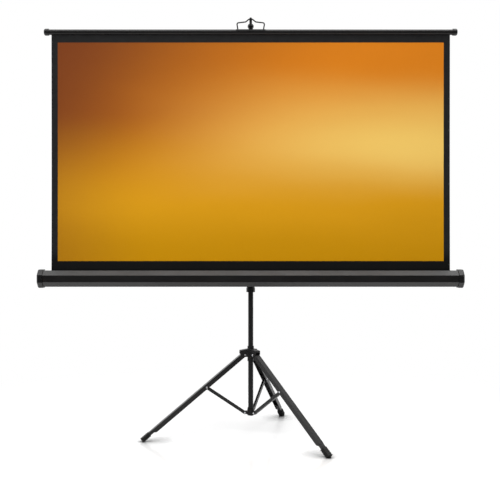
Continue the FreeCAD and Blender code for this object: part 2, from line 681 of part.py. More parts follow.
def spring_shaft():
    start = -CASE_LENGTH / 2
    return rod(AXLE_D, axle_line(start), axle_line(start + SPRING_SHAFT_LENGTH))


def idler_axle():
    end = CASE_LENGTH / 2
    return rod(AXLE_D, axle_line(end - IDLER_LENGTH), axle_line(end))


def roller_spring():
    start = -ROLLER_LENGTH / 2 + ROLLER_PLUG + FREE_GAP
    return sleeve_on_axle(SPRING_D, AXLE_D + 2 * FREE_GAP, start, start + SPRING_LENGTH)


# Fabric, slat and bail
def screen_fabric():
    half = FABRIC_WIDTH / 2
    top = SLAT_Z - SLAT_D / 2 + FABRIC_SEAT - HEM_ROD_D
    return block(V(-half, SCREEN_Y - FABRIC / 2, CASE_Z), V(half, SCREEN_Y + FABRIC / 2, top))


def slat_line(x):
    """Point on the slat's axis."""
    return V(x, SCREEN_Y, SLAT_Z)


def slat_tube():
    """Round slat with a groove below for the fabric's hem."""
    half = SLAT_LENGTH / 2
    tube = rod(SLAT_D, slat_line(-half), slat_line(half))
    tube = tube.cut(rod(SLAT_D - 2 * SLAT_WALL, slat_line(-half), slat_line(half)))
    groove = block(V(-half, SCREEN_Y - SLAT_GROOVE / 2, SLAT_Z - SLAT_D),
                   V(half, SCREEN_Y + SLAT_GROOVE / 2, SLAT_Z))
    return tube.cut([groove, *bail_slots()])


def slat_cap(side):
    """Rounded end cap with a spigot in the slat."""
    end = SLAT_LENGTH / 2
    head = rod(SLAT_CAP_D, slat_line(end), slat_line(end + SLAT_CAP_LENGTH))
    rim = [e for e in head.Edges if e.Closed and e.CenterOfMass.x > end + SLAT_CAP_LENGTH / 2]
    head = head.makeFillet(SLAT_CAP_ROUND, rim)
    spigot = rod(SLAT_D - 2 * SLAT_WALL, slat_line(end - SLAT_CAP_SPIGOT), slat_line(end))
    cap = head.fuse(spigot).removeSplitter()
    return cap if side > 0 else cap.mirror(V(0, 0, 0), AXIS_X)


def hem_rod():
    """Rod in the fabric's hem, held in the hollow of the slat."""
    half = FABRIC_WIDTH / 2
    return rod(HEM_ROD_D, V(-half, SCREEN_Y, HEM_ROD_Z), V(half, SCREEN_Y, HEM_ROD_Z))


def bail_slots():
    """Slots through the slat's top that the bail's legs enter and tip in."""
    slots = []
    for side in (-1, 1):
        middle = side * BAIL_FOOT_HALF
        width = BAIL_WIRE_D / 2 + FREE_GAP + BAIL_SLOT_PLAY
        low = V(middle - width, SCREEN_Y - BAIL_SLOT_LENGTH / 2, BAIL_FOOT_Z)
        slots.append(block(low, V(middle + width, SCREEN_Y + BAIL_SLOT_LENGTH / 2, SLAT_TOP + BAIL_CREST)))
    return slots


def bail():
    """Wire handle with feet turned in under the slat's top and a raised middle that sits in the hook."""
    foot = BAIL_FOOT_Z - SLAT_TOP
    ramp_x = BAIL_CREST_HALF + BAIL_RAMP
    outline = [(BAIL_FOOT_HALF - BAIL_FOOT_LENGTH, foot), (BAIL_FOOT_HALF, foot)]
    outline += [(BAIL_HALF_WIDTH, BAIL_SHOULDER), (ramp_x, BAIL_SHOULDER + BAIL_SHOULDER_RISE)]
    outline += [(BAIL_CREST_HALF, BAIL_CREST)]
    mirrored = [(-x, height) for x, height in reversed(outline)]
    points = [V(x, SCREEN_Y, SLAT_TOP + height) for x, height in outline + mirrored]
    bends = [BAIL_FOOT_BEND, BAIL_BEND, BAIL_RAMP_BEND, BAIL_RAMP_BEND]
    return bent_rod(BAIL_WIRE_D, points, bends + bends[::-1])


def bail_clips():
    """Plate curved over the slat's top, slotted for the bail's legs."""
    half = CLIP_PLATE_LENGTH / 2
    plate = rod(SLAT_D + 2 * CLIP_PLATE, slat_line(-half), slat_line(half))
    edge_z = SLAT_TOP - CLIP_PLATE_DROP
    above = block(V(-half, SCREEN_Y - SLAT_D, edge_z), V(half, SCREEN_Y + SLAT_D, SLAT_TOP + SLAT_D))
    plate = plate.common(above).cut(rod(SLAT_D, slat_line(-half), slat_line(half)))
    return plate.cut(bail_slots())


# Mast head
def mast_cap():
    """Ball on the mast's top end with a short neck."""
    ball = Part.makeSphere(BALL_D / 2, V(0, 0, BALL_Z))
    neck = Part.makeCylinder(BALL_NECK_D / 2, BALL_NECK, V(0, 0, MAST_TOP - BALL_NECK))
    cap = ball.fuse(neck)
    cap = cap.cut(Part.makeCylinder(MAST_D / 2, BALL_D, V(0, 0, MAST_TOP - BALL_D)))
    return cap.cut(rod(HOOK_D, V(0, 0, HOOK_Z), V(0, -BALL_D, HOOK_Z))).removeSplitter()


def screen_hook():
    """Rod from the ball forward under the bail, with its tip turned up in front of the wire."""
    tip_y = SCREEN_Y - HOOK_REACH
    points = [V(0, 0, HOOK_Z), V(0, tip_y, HOOK_Z), V(0, tip_y, HOOK_Z + HOOK_TIP)]
    arm = bent_rod(HOOK_D, points, [HOOK_BEND])
    return arm.fuse(Part.makeSphere(HOOK_D / 2, points[-1])).removeSplitter()


def build():
    """All pieces by node name, round the pole axis."""
    pieces = {
        "pole_tube": pole_tube(),
        "pole_end_plug": pole_end_plug(),
        "brace_collar": brace_collar(),
        "collar_rivets": collar_rivets(),
        "height_clamp": clamp_collar(HEIGHT_CLAMP_D, CLAMP_BASE, POLE_D, COLUMN_D),
        "height_knob": clamp_knob(HEIGHT_CLAMP_D, CLAMP_BASE),
        "height_stud": clamp_stud(HEIGHT_CLAMP_D, CLAMP_BASE, COLUMN_D),
        "leg_hub": leg_hub(),
        "hub_rivets": hub_rivets(),
        "column_tube": column_tube(),
        "column_bush": column_bush(),
        "mast_clamp": clamp_collar(MAST_CLAMP_D, MAST_CLAMP_BASE, COLUMN_D, MAST_D),
        "mast_knob": clamp_knob(MAST_CLAMP_D, MAST_CLAMP_BASE),
        "mast_stud": clamp_stud(MAST_CLAMP_D, MAST_CLAMP_BASE, MAST_D),
        "case_bracket": case_bracket(),
        "pivot_washer": pivot_washer(),
        "pivot_plate": pivot_plate(),
        "pivot_bolt": pivot_bolt(),
        "case_shell": case_shell(),
        "case_cap_left": case_cap(-1),
        "case_cap_right": case_cap(1),
        "spring_shaft": spring_shaft(),
        "idler_axle": idler_axle(),
        "roller_spring": roller_spring(),
        "roller_tube": sleeve_on_axle(ROLLER_D, ROLLER_D - 2 * ROLLER_WALL,
                                      -ROLLER_LENGTH / 2, ROLLER_LENGTH / 2),
        "roller_plug_left": roller_plug(-1),
        "roller_plug_right": roller_plug(1),
        "fabric_roll": sleeve_on_axle(ROLL_D, ROLLER_D, -FABRIC_WIDTH / 2, FABRIC_WIDTH / 2),
        "screen_fabric": screen_fabric(),
        "slat_tube": slat_tube(),
        "slat_cap_left": slat_cap(-1),
        "slat_cap_right": slat_cap(1),
        "hem_rod": hem_rod(),
        "bail": bail(),
        "bail_clips": bail_clips(),
        "mast_tube": mast_tube(),
        "mast_bush": mast_bush(),
        "mast_cap": mast_cap(),
        "screen_hook": screen_hook(),
    }
    for name, azimuth in LEG_AZIMUTHS.items():
        pieces[f"leg_{name}"] = spread(leg_channel(), azimuth)
        pieces[f"leg_{name}_insert"] = spread(leg_insert(), azimuth)
        pieces[f"leg_{name}_boot"] = floor_cut(leg_boot(), azimuth)
        pieces[f"leg_{name}_rivet"] = spread(knee_rivet(), azimuth)
        pieces[f"brace_{name}"] = placed_brace(azimuth)
    return pieces


def footprint_middle(pieces):
    """Y of the middle of the footprint, which the boots set."""
    boxes = [pieces[f"leg_{name}_boot"].optimalBoundingBox() for name in LEG_AZIMUTHS]
    return (min(b.YMin for b in boxes) + max(b.YMax for b in boxes)) / 2


PIECES = build()
POLE_Y = -footprint_middle(PIECES)
os.makedirs("parts", exist_ok=True)
for node, shape in PIECES.items():
    shape.translate(V(0, POLE_Y, 0))
    shape.exportStep(f"parts/{node}.step")
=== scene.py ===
"""Looks of a tripod projection screen: its finishes, its screen cloth and a plain studio.

Metres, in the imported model's frame. X runs along the case, Y points away from the viewer, Z is up.
"""
import json
import math

import bpy
from bpy.props import FloatProperty, FloatVectorProperty, IntProperty, PointerProperty
from bpy.types import Operator, Panel, PropertyGroup
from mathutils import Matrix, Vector


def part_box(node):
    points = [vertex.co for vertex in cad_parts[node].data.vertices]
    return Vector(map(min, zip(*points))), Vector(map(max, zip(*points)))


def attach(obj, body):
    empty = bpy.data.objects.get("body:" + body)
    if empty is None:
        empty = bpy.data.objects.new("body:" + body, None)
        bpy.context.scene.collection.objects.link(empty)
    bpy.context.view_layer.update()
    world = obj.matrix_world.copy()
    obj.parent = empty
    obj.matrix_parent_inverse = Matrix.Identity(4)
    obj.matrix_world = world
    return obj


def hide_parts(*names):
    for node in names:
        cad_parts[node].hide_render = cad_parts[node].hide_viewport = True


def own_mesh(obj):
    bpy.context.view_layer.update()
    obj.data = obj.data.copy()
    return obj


bl_info = {
    "name": "Tripod projection screen",
    "version": (1, 0, 0),
    "blender": (4, 5, 0),
    "location": "3D View > Sidebar > Screen",
    "description": "Finishes, screen cloth and studio for a tripod projection screen",
    "category": "Object",
}

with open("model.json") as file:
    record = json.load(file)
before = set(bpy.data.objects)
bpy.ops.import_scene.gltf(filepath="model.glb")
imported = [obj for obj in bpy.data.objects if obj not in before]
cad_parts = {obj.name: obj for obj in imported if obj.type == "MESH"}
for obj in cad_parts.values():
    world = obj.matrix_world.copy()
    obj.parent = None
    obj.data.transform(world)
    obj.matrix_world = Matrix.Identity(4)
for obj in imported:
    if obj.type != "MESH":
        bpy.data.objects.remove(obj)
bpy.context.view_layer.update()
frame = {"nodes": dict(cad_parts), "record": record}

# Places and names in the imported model
CLOTH_LOW, CLOTH_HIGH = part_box("screen_fabric")
CASE_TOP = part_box("case_shell")[1].z
SLAT_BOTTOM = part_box("slat_tube")[0].z
ROLL_LOW, ROLL_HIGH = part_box("fabric_roll")
ROLLER_LOW, ROLLER_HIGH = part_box("roller_tube")
LEG_NODES = ("leg_left", "leg_right", "leg_rear", "brace_left", "brace_right", "brace_rear")
WIRE_NODES = ("bail", "bail_clips", "screen_hook")

# Side of the photograph in pixels, and the gap that keeps the floor clear of the boots
PHOTO_PIXELS = 500
FLOOR_DROP = 0.0003

# Material slots of the hung cloth
PICTURE, BORDER, BACKING = range(3)

# Form of the hung cloth: waves in radians a metre, and how sharply the side edges curl
WAVE_ACROSS = 9.5
WAVE_START = 0.8
WAVE_UP = 3.2
CURL_POWER = 14
BORDER_COLUMNS = 3

# Form of the wound cloth: turns on the roller, empty turns outside them and points in a turn
WOUND_TURNS = 2.2
EMPTY_TURNS = 1.2
TURN_POINTS = 72

# Where the picture's colours change, as shares of its height or width, and how its drift is stretched
LOW_TO_AMBER = (0.0, 0.32)
BAND_TO_SKY = (0.22, 0.70)
DUSK_TO_HIGH = (-0.05, 0.85)
GLOW_RISE = (0.24, 0.50)
GLOW_FALL = (0.94, 0.52)
GLOW_ACROSS = (0.12, 0.92)
DARK_SIDE = (0.26, -0.12)
# Painted shade on the border just above the case, as shares of the picture's height
PAINTED_FOOT_SHADE = (0.06, 0.0)
DRIFT_STRETCH = (1.1, 2.6, 1.0)

# Where the effects of wear and weave begin and are full, in values of their noise, slope or height
EDGE_TURN = (0.01, 0.16)
RUBBED_PATCHES = (0.42, 0.70)
PEBBLE_FLECKS = (0.35, 0.75)
SMUDGE_PATCHES = (0.34, 0.68)
UPPER_FACES = (0.25, 0.95)
DUST_SPECKS = (0.30, 0.75)
# Painted shade in the gaps between threads, by weave height
THREAD_GAP_SHADE = (0.6, 0.0)
SLUB_PATCHES = (0.3, 0.7)
LINE_SPREAD = (0.3, 0.7)
SCUFFED_FOOT = (0.016, 0.0)

# Scales of the broad pebbles and of the streaks against the scale of the effect
BROAD_SCALE = 0.23
STREAK_SCALE = 6.0

# Mirrored surroundings: the directions from dark to white, and the darkest level
DARK_TO_WHITE = (-0.50, 0.50)
DARKEST = 0.02


def colour_setting(name, description, default):
    """Colour property in linear values."""
    return FloatVectorProperty(name=name, description=description, default=default, size=3,
                               min=0.0, max=1.0, subtype="COLOR")


def length_setting(name, description, default):
    """Length property in metres."""
    return FloatProperty(name=name, description=description, default=default,
                         min=0.0, precision=4, unit="LENGTH")


def number_setting(name, description, default, **limits):
    """Number property."""
    return FloatProperty(name=name, description=description, default=default, **limits)


class ScreenClothSettings(PropertyGroup):
    """Sizes and colours of the screen cloth."""

    side_border: length_setting("Side border", "Width of the black border at each side", 0.030)
    top_border: length_setting("Top border", "Height of the black border below the slat", 0.037)
    bottom_border: length_setting("Bottom border", "Height of the black border above the case", 0.0455)
    ripple: length_setting("Ripple", "Height of the slack waves in the hung cloth", 0.0011)
    edge_curl: length_setting("Edge curl", "How far the free side edges curl back", 0.0030)
    hem_depth: length_setting("Hem", "Depth of the welded hem below the slat", 0.016)
    hem_step: length_setting("Hem step", "Extra thickness of the welded hem at the back", 0.0005)
    columns: IntProperty(name="Columns", description="Mesh columns across the picture", default=64, min=8)
    rows: IntProperty(name="Rows", description="Mesh rows up the picture", default=40, min=8)
    threads: number_setting("Threads", "Threads in one metre of cloth", 1100.0, min=100.0)
    low_colour: colour_setting("Low colour", "Picture at the bottom", (0.56, 0.264, 0.003))
    amber_colour: colour_setting("Amber colour", "Picture a third of the way up", (0.70, 0.330, 0.010))
    glow_colour: colour_setting("Glow colour", "Bright patch at the right", (0.90, 0.59, 0.140))
    high_colour: colour_setting("High colour", "Picture at the top right", (0.67, 0.205, 0.012))
    dusk_colour: colour_setting("Dusk colour", "Picture at the top left", (0.175, 0.045, 0.013))
    border_colour: colour_setting("Border colour", "Black ink of the border", (0.0132, 0.0134, 0.0138))
    # Colour of painted shade: the border just above the case and the backing's gaps between threads are
    # darkened towards it
    painted_shade_colour: colour_setting("Painted shade colour", "Painted shade above the case and between threads",
                                 (0.0056, 0.0057, 0.0058))
    back_colour: colour_setting("Back colour", "Black backing of the cloth", (0.016, 0.016, 0.017))


class FinishSettings(PropertyGroup):
    """Colours of the hard finishes."""

    tube_colour: colour_setting("Tube", "Satin black powder coat", (0.0098, 0.0098, 0.0101))
    tube_worn_colour: colour_setting("Worn tube", "Coat rubbed thin on edges", (0.060, 0.060, 0.061))
    case_colour: colour_setting("Case", "Semi-gloss black paint", (0.0098, 0.0092, 0.0093))
    case_worn_colour: colour_setting("Worn case", "Paint rubbed thin on edges", (0.050, 0.049, 0.049))
    plastic_colour: colour_setting("Plastic", "Black moulded plastic", (0.0080, 0.0080, 0.0083))
    plastic_worn_colour: colour_setting("Worn plastic", "Polished on edges", (0.040, 0.040, 0.041))
    rubber_colour: colour_setting("Rubber", "Black rubber of the boots", (0.0110, 0.0108, 0.0106))
    dust_colour: colour_setting("Dust", "Dust that settles on upper faces", (0.105, 0.102, 0.098))
    zinc_colour: colour_setting("Zinc", "Bright zinc plating", (0.74, 0.75, 0.77))
    zinc_dull_colour: colour_setting("Dull zinc", "Darker crystals in the plating", (0.56, 0.57, 0.60))
    aluminium_colour: colour_setting("Aluminium", "Mill finish of the roller", (0.80, 0.80, 0.81))


class StageSettings(PropertyGroup):
    """Studio and camera."""

    camera_back: length_setting("Camera distance", "Camera's distance in front of the pole", 4.0)
    camera_height: length_setting("Camera height", "Camera's height over the floor", 0.942)
    focal_pixels: number_setting("Focal length", "Focal length in pixels", 813.5, subtype="PIXEL")
    horizon_pixel: number_setting("Horizon", "Picture row of the horizon", 245.0, subtype="PIXEL")
    centre_pixel: number_setting("Centre", "Picture column of the pole", 250.7, subtype="PIXEL")
    floor_size: length_setting("Floor", "Side of the floor", 60.0)
    floor_colour: colour_setting("Floor colour", "Pale floor", (0.92, 0.92, 0.92))
    floor_lift: number_setting("Floor lift", "Brightness added to the floor as it is seen", 0.33, min=0.0)
    # Painted contact shadow: the floor's colour and lift darken under pieces within this reach
    contact_reach: length_setting("Contact reach", "Height up to which a piece darkens the floor", 0.105)
    contact_depth: number_setting("Contact depth", "How strongly it darkens the floor", 3.2, min=0.0)
    matt_floor: length_setting("Matt floor", "Radius within which the floor is matt", 0.30)
    glossy_floor: length_setting("Glossy floor", "Radius beyond which it has a faint gloss", 0.50)
    matt_roughness: number_setting("Matt roughness", "Roughness of the matt floor", 0.38, min=0.0)
    glossy_roughness: number_setting("Glossy roughness", "Roughness of the glossy floor", 0.155, min=0.0)
    floor_near: length_setting("Near floor", "Radius within which the floor keeps its shadows", 1.1)
    floor_far: length_setting("Far floor", "Radius beyond which the floor is plain white", 2.2)
    overhead_power: number_setting("Overhead", "Power of the lamp above", 112.0, unit="POWER")
    front_power: number_setting("Front", "Power of the front lamp", 160.0, unit="POWER")
    ambient: number_setting("Ambient", "Light from all round", 0.22, min=0.0)


# Node tree helpers
def add(tree, kind, sockets=None, **settings):
    """New node with its settings, each socket set to a value or joined to an output."""
    made = tree.nodes.new(kind)
    for name, value in settings.items():
        setattr(made, name, value)
    for key, value in (sockets or {}).items():
        if isinstance(value, bpy.types.NodeSocket):
            tree.links.new(value, made.inputs[key])
        else:
            made.inputs[key].default_value = value
    return made


def calc(tree, operation, first, second=0.0, clamp=False):
    """Output of a Math node."""
    made = add(tree, "ShaderNodeMath", {0: first, 1: second}, operation=operation, use_clamp=clamp)
    return made.outputs[0]


def some_of(tree, value, share):
    """Share of a value or mask."""
    return calc(tree, "MULTIPLY", value, share)


def blend(tree, first, second, share):
    """Sum of two values in which the second has a share."""
    return calc(tree, "ADD", some_of(tree, first, 1.0 - share), some_of(tree, second, share))


def vector_calc(tree, operation, first, second=(0.0, 0.0, 0.0)):
    """Outputs of a Vector Math node."""
    return add(tree, "ShaderNodeVectorMath", {0: first, 1: second}, operation=operation).outputs


def parts_of(tree, vector):
    """X, Y and Z of a vector."""
    return add(tree, "ShaderNodeSeparateXYZ", {"Vector": vector}).outputs


def object_place(tree):
    """Place on the object in metres."""
    return add(tree, "ShaderNodeTexCoord").outputs["Object"]


def picture_place(tree):
    """Place on the cloth, from 0 to 1 over the picture."""
    return add(tree, "ShaderNodeUVMap", uv_map="picture").outputs["UV"]


def smooth(tree, value, low, high, start=0.0, end=1.0):
    """Smooth step of a value from one range to another."""
    sockets = {"Value": value, "From Min": low, "From Max": high, "To Min": start, "To Max": end}
    return add(tree, "ShaderNodeMapRange", sockets, interpolation_type="SMOOTHSTEP").outputs["Result"]


def between(tree, mask, start, end):
    """Value that a mask leads from start to end."""
    return smooth(tree, mask, 0.0, 1.0, start, end)


def mix_colour(tree, factor, first, second):
    """Colour between two others."""
    mixed = add(tree, "ShaderNodeMix", data_type="RGBA")
    for index, value in ((0, factor), (6, first), (7, second)):
        if isinstance(value, bpy.types.NodeSocket):
            tree.links.new(value, mixed.inputs[index])
        else:
            mixed.inputs[index].default_value = value if index == 0 else (*value, 1.0)
    return mixed.outputs[2]


def mix_shader(tree, factor, first, second):
    """Shader between two others."""
    return add(tree, "ShaderNodeMixShader", {0: factor, 1: first, 2: second}).outputs[0]


def noise(tree, vector, scale, detail=3.0, roughness=0.5):
    """Value of a noise texture."""
    sockets = {"Vector": vector, "Scale": scale, "Detail": detail, "Roughness": roughness}
    return add(tree, "ShaderNodeTexNoise", sockets).outputs[0]


def bump(tree, height, depth, normal=None):
    """Normal raised by a height in metres."""
    sockets = {"Height": height, "Strength": 1.0, "Distance": depth}
    if normal is not None:
        sockets["Normal"] = normal
    return add(tree, "ShaderNodeBump", sockets).outputs["Normal"]


def new_group(name, inputs, outputs):
    """Empty shader group with named sockets, and its input and output sockets."""
    tree = bpy.data.node_groups.new(name, "ShaderNodeTree")
    for label, value in inputs.items():
        kind = "NodeSocketVector" if isinstance(value, tuple) else "NodeSocketFloat"
        tree.interface.new_socket(label, in_out="INPUT", socket_type=kind).default_value = value
    for label, kind in outputs.items():
        tree.interface.new_socket(label, in_out="OUTPUT", socket_type=kind)
    given = tree.nodes.new("NodeGroupInput").outputs
    result = tree.nodes.new("NodeGroupOutput").inputs
    return tree, given, result


# Shared effects
def soft_edges_group():
    """Edges that catch the light as if slightly rounded, and a mask of where they are rubbed."""
    tree, given, result = new_group("soft_edges", {"Radius": 0.0008, "Breakup": 140.0, "Wear": 0.5},
                                    {"Normal": "NodeSocketVector", "Rubbed": "NodeSocketFloat"})
    rounded = add(tree, "ShaderNodeBevel", {"Radius": given["Radius"]}, samples=6).outputs["Normal"]
    flat = add(tree, "ShaderNodeNewGeometry").outputs["Normal"]
    facing = vector_calc(tree, "DOT_PRODUCT", rounded, flat)["Value"]
    edge = smooth(tree, calc(tree, "SUBTRACT", 1.0, facing), *EDGE_TURN)
    patches = noise(tree, object_place(tree), given["Breakup"], detail=4.0, roughness=0.65)
    patchy = calc(tree, "MULTIPLY", edge, smooth(tree, patches, *RUBBED_PATCHES))
    rubbed = calc(tree, "MULTIPLY", patchy, given["Wear"], clamp=True)
    tree.links.new(rounded, result["Normal"])
    tree.links.new(rubbed, result["Rubbed"])


def coat_grain_group():
    """Fine pebbled skin of powder coat, moulded plastic or rubber."""
    tree, given, result = new_group("coat_grain", {"Scale": 1200.0},
                                    {"Height": "NodeSocketFloat", "Fleck": "NodeSocketFloat"})
    spot = object_place(tree)
    pebble = noise(tree, spot, given["Scale"], detail=2.0, roughness=0.55)
    broad = noise(tree, spot, calc(tree, "MULTIPLY", given["Scale"], BROAD_SCALE), detail=2.0)
    tree.links.new(blend(tree, pebble, broad, share=0.4), result["Height"])
    tree.links.new(smooth(tree, pebble, *PEBBLE_FLECKS), result["Fleck"])


def handling_group():
    """Broad smudges left by hands and cloths."""
    tree, given, result = new_group("handling", {"Scale": 14.0}, {"Smudge": "NodeSocketFloat"})
    spot = object_place(tree)
    broad = noise(tree, spot, given["Scale"], detail=5.0, roughness=0.6)
    streak = noise(tree, spot, calc(tree, "MULTIPLY", given["Scale"], STREAK_SCALE), roughness=0.7)
    both = blend(tree, broad, streak, share=0.3)
    tree.links.new(smooth(tree, both, *SMUDGE_PATCHES), result["Smudge"])


def drawn_lines_group():
    """Faint lines that rolling and drawing leave along a length."""
    tree, given, result = new_group("drawn_lines", {"Stretch": (2.0, 700.0, 700.0)},
                                    {"Line": "NodeSocketFloat"})
    drawn = vector_calc(tree, "MULTIPLY", object_place(tree), given["Stretch"])["Vector"]
    tree.links.new(noise(tree, drawn, scale=1.0, roughness=0.6), result["Line"])


def settled_dust_group():
    """Thin dust on faces that look up."""
    tree, given, result = new_group("settled_dust", {"Amount": 0.2, "Scale": 60.0},
                                    {"Dust": "NodeSocketFloat"})
    facing = add(tree, "ShaderNodeTexCoord").outputs["Normal"]
    cover = smooth(tree, parts_of(tree, facing)["Z"], *UPPER_FACES)
    grit = noise(tree, object_place(tree), given["Scale"], detail=6.0, roughness=0.7)
    specks = calc(tree, "MULTIPLY", cover, smooth(tree, grit, *DUST_SPECKS))
    tree.links.new(calc(tree, "MULTIPLY", specks, given["Amount"], clamp=True), result["Dust"])


def cloth_weave_group():
    """Plain weave under a thin matt coating, and a mask of the gaps between threads for painted shade."""
    outputs = {"Height": "NodeSocketFloat", "Gap shade": "NodeSocketFloat", "Slub": "NodeSocketFloat"}
    tree, given, result = new_group("cloth_weave", {"Threads": 1100.0}, outputs)
    spot = object_place(tree)
    parts = parts_of(tree, spot)
    turn = calc(tree, "MULTIPLY", given["Threads"], math.pi)
    across = calc(tree, "SINE", calc(tree, "MULTIPLY", parts["X"], turn))
    up = calc(tree, "SINE", calc(tree, "MULTIPLY", parts["Z"], turn))
    crossing = calc(tree, "MULTIPLY", across, up)
    height = calc(tree, "ADD", some_of(tree, crossing, share=0.5), 0.5)
    slubs = noise(tree, spot, scale=35.0, detail=6.0, roughness=0.7)
    tree.links.new(height, result["Height"])
    # Mask of the gaps between threads, used for painted shade
    tree.links.new(smooth(tree, height, *THREAD_GAP_SHADE), result["Gap shade"])
    tree.links.new(smooth(tree, slubs, *SLUB_PATCHES), result["Slub"])


EFFECTS = {
    "soft_edges": soft_edges_group,
    "coat_grain": coat_grain_group,
    "handling": handling_group,
    "drawn_lines": drawn_lines_group,
    "settled_dust": settled_dust_group,
    "cloth_weave": cloth_weave_group,
}


def place(tree, name, **values):
    """Places a shared effect in a material with its own values, and builds it the first time."""
    if name not in bpy.data.node_groups:
        EFFECTS[name]()
    made = tree.nodes.new("ShaderNodeGroup")
    made.node_tree = bpy.data.node_groups[name]
    for label, value in values.items():
        made.inputs[label].default_value = value
    return made.outputs


# Finishes
def new_finish(name, **plain):
    """Material with one Principled shader whose plain sockets are set."""
    material = bpy.data.materials.new(name)
    material.use_nodes = True
    tree = material.node_tree
    skin = tree.nodes["Principled BSDF"]
    for label, value in plain.items():
        skin.inputs[label.replace("_", " ")].default_value = value
    return material, tree, skin


def join(tree, skin, **outputs):
    """Joins outputs to the shader's sockets."""
    for label, output in outputs.items():
        tree.links.new(output, skin.inputs[label.replace("_", " ")])


def paler(colour, times):
    """Colour made brighter."""
    return tuple(times * part for part in colour)


def powder_coat_finish(finish, name, specular, smoothest, roughest):
    """Satin black powder coat on tube, channel or wire."""
    material, tree, skin = new_finish(name, IOR=1.5, Specular_IOR_Level=specular)
    edges = place(tree, "soft_edges", Radius=0.0009, Breakup=130.0, Wear=0.55)
    grain = place(tree, "coat_grain", Scale=1500.0)
    smudge = place(tree, "handling", Scale=17.0)
    dust = place(tree, "settled_dust", Amount=0.16, Scale=70.0)
    coat = mix_colour(tree, edges["Rubbed"], finish.tube_colour, finish.tube_worn_colour)
    coat = mix_colour(tree, dust["Dust"], coat, finish.dust_colour)
    gloss = between(tree, smudge["Smudge"], smoothest, roughest)
    normal = bump(tree, grain["Height"], depth=0.00006, normal=edges["Normal"])
    join(tree, skin, Base_Color=coat, Roughness=gloss, Normal=normal)
    return material


def rolled_paint_finish(finish, name, specular, smoothest, roughest):
    """Black paint on the rolled case or slat."""
    material, tree, skin = new_finish(name, IOR=1.55, Specular_IOR_Level=specular)
    edges = place(tree, "soft_edges", Radius=0.0011, Breakup=60.0, Wear=0.40)
    grain = place(tree, "coat_grain", Scale=900.0)
    lines = place(tree, "drawn_lines", Stretch=(1.5, 620.0, 620.0))
    smudge = place(tree, "handling", Scale=9.0)
    dust = place(tree, "settled_dust", Amount=0.12, Scale=45.0)
    coat = mix_colour(tree, edges["Rubbed"], finish.case_colour, finish.case_worn_colour)
    coat = mix_colour(tree, dust["Dust"], coat, finish.dust_colour)
    drawn = smooth(tree, lines["Line"], *LINE_SPREAD, start=0.0, end=0.05)
    gloss = calc(tree, "ADD", between(tree, smudge["Smudge"], smoothest, roughest), drawn)
    raised = calc(tree, "ADD", grain["Height"], some_of(tree, lines["Line"], share=0.5))
    normal = bump(tree, raised, depth=0.00003, normal=edges["Normal"])
    join(tree, skin, Base_Color=coat, Roughness=gloss, Normal=normal)
    return material


def moulded_plastic_finish(finish):
    """Fine-grained black moulded plastic."""
    material, tree, skin = new_finish("moulded_black_plastic", IOR=1.49)
    edges = place(tree, "soft_edges", Radius=0.0010, Breakup=170.0, Wear=0.45)
    grain = place(tree, "coat_grain", Scale=2300.0)
    smudge = place(tree, "handling", Scale=24.0)
    dust = place(tree, "settled_dust", Amount=0.14, Scale=90.0)
    shade = mix_colour(tree, edges["Rubbed"], finish.plastic_colour, finish.plastic_worn_colour)
    shade = mix_colour(tree, dust["Dust"], shade, finish.dust_colour)
    gloss = between(tree, smudge["Smudge"], start=0.30, end=0.42)
    normal = bump(tree, grain["Height"], depth=0.00008, normal=edges["Normal"])
    join(tree, skin, Base_Color=shade, Roughness=gloss, Normal=normal)
    return material


def boot_rubber_finish(finish):
    """Dull black rubber, scuffed pale near the floor."""
    material, tree, skin = new_finish("boot_rubber", IOR=1.48, Specular_IOR_Level=0.35)
    edges = place(tree, "soft_edges", Radius=0.0012, Breakup=220.0, Wear=0.35)
    grain = place(tree, "coat_grain", Scale=1800.0)
    dust = place(tree, "settled_dust", Amount=0.22, Scale=140.0)
    low = smooth(tree, parts_of(tree, object_place(tree))["Z"], *SCUFFED_FOOT)
    scuff = calc(tree, "MULTIPLY", low, grain["Fleck"])
    shade = mix_colour(tree, edges["Rubbed"], finish.rubber_colour, finish.plastic_worn_colour)
    shade = mix_colour(tree, some_of(tree, scuff, share=0.3), shade, finish.dust_colour)
    shade = mix_colour(tree, dust["Dust"], shade, finish.dust_colour)
    gloss = between(tree, grain["Fleck"], start=0.62, end=0.78)
    normal = bump(tree, grain["Height"], depth=0.00014, normal=edges["Normal"])
    join(tree, skin, Base_Color=shade, Roughness=gloss, Normal=normal)
    return material


def zinc_finish(finish):
    """Bright zinc plating on rivets, studs, bolt and shafts."""
    material, tree, skin = new_finish("zinc_steel", Metallic=1.0)
    edges = place(tree, "soft_edges", Radius=0.0006)
    grain = place(tree, "coat_grain", Scale=700.0)
    lines = place(tree, "drawn_lines", Stretch=(900.0, 900.0, 60.0))
    shade = mix_colour(tree, grain["Fleck"], finish.zinc_colour, finish.zinc_dull_colour)
    gloss = smooth(tree, lines["Line"], *LINE_SPREAD, start=0.22, end=0.36)
    normal = bump(tree, grain["Height"], depth=0.00002, normal=edges["Normal"])
    join(tree, skin, Base_Color=shade, Roughness=gloss, Normal=normal)
    return material


def roller_finish(finish):
    """Mill-finish aluminium of the roller tube."""
    material, tree, skin = new_finish("roller_aluminium", Metallic=1.0)
    lines = place(tree, "drawn_lines", Stretch=(3.0, 900.0, 900.0))
    smudge = place(tree, "handling", Scale=30.0)
    dulled = some_of(tree, smudge["Smudge"], share=0.4)
    shade = mix_colour(tree, dulled, finish.aluminium_colour, finish.zinc_dull_colour)
    gloss = smooth(tree, lines["Line"], *LINE_SPREAD, start=0.25, end=0.42)
    normal = bump(tree, lines["Line"], depth=0.00003)
    join(tree, skin, Base_Color=shade, Roughness=gloss, Normal=normal)
    return material


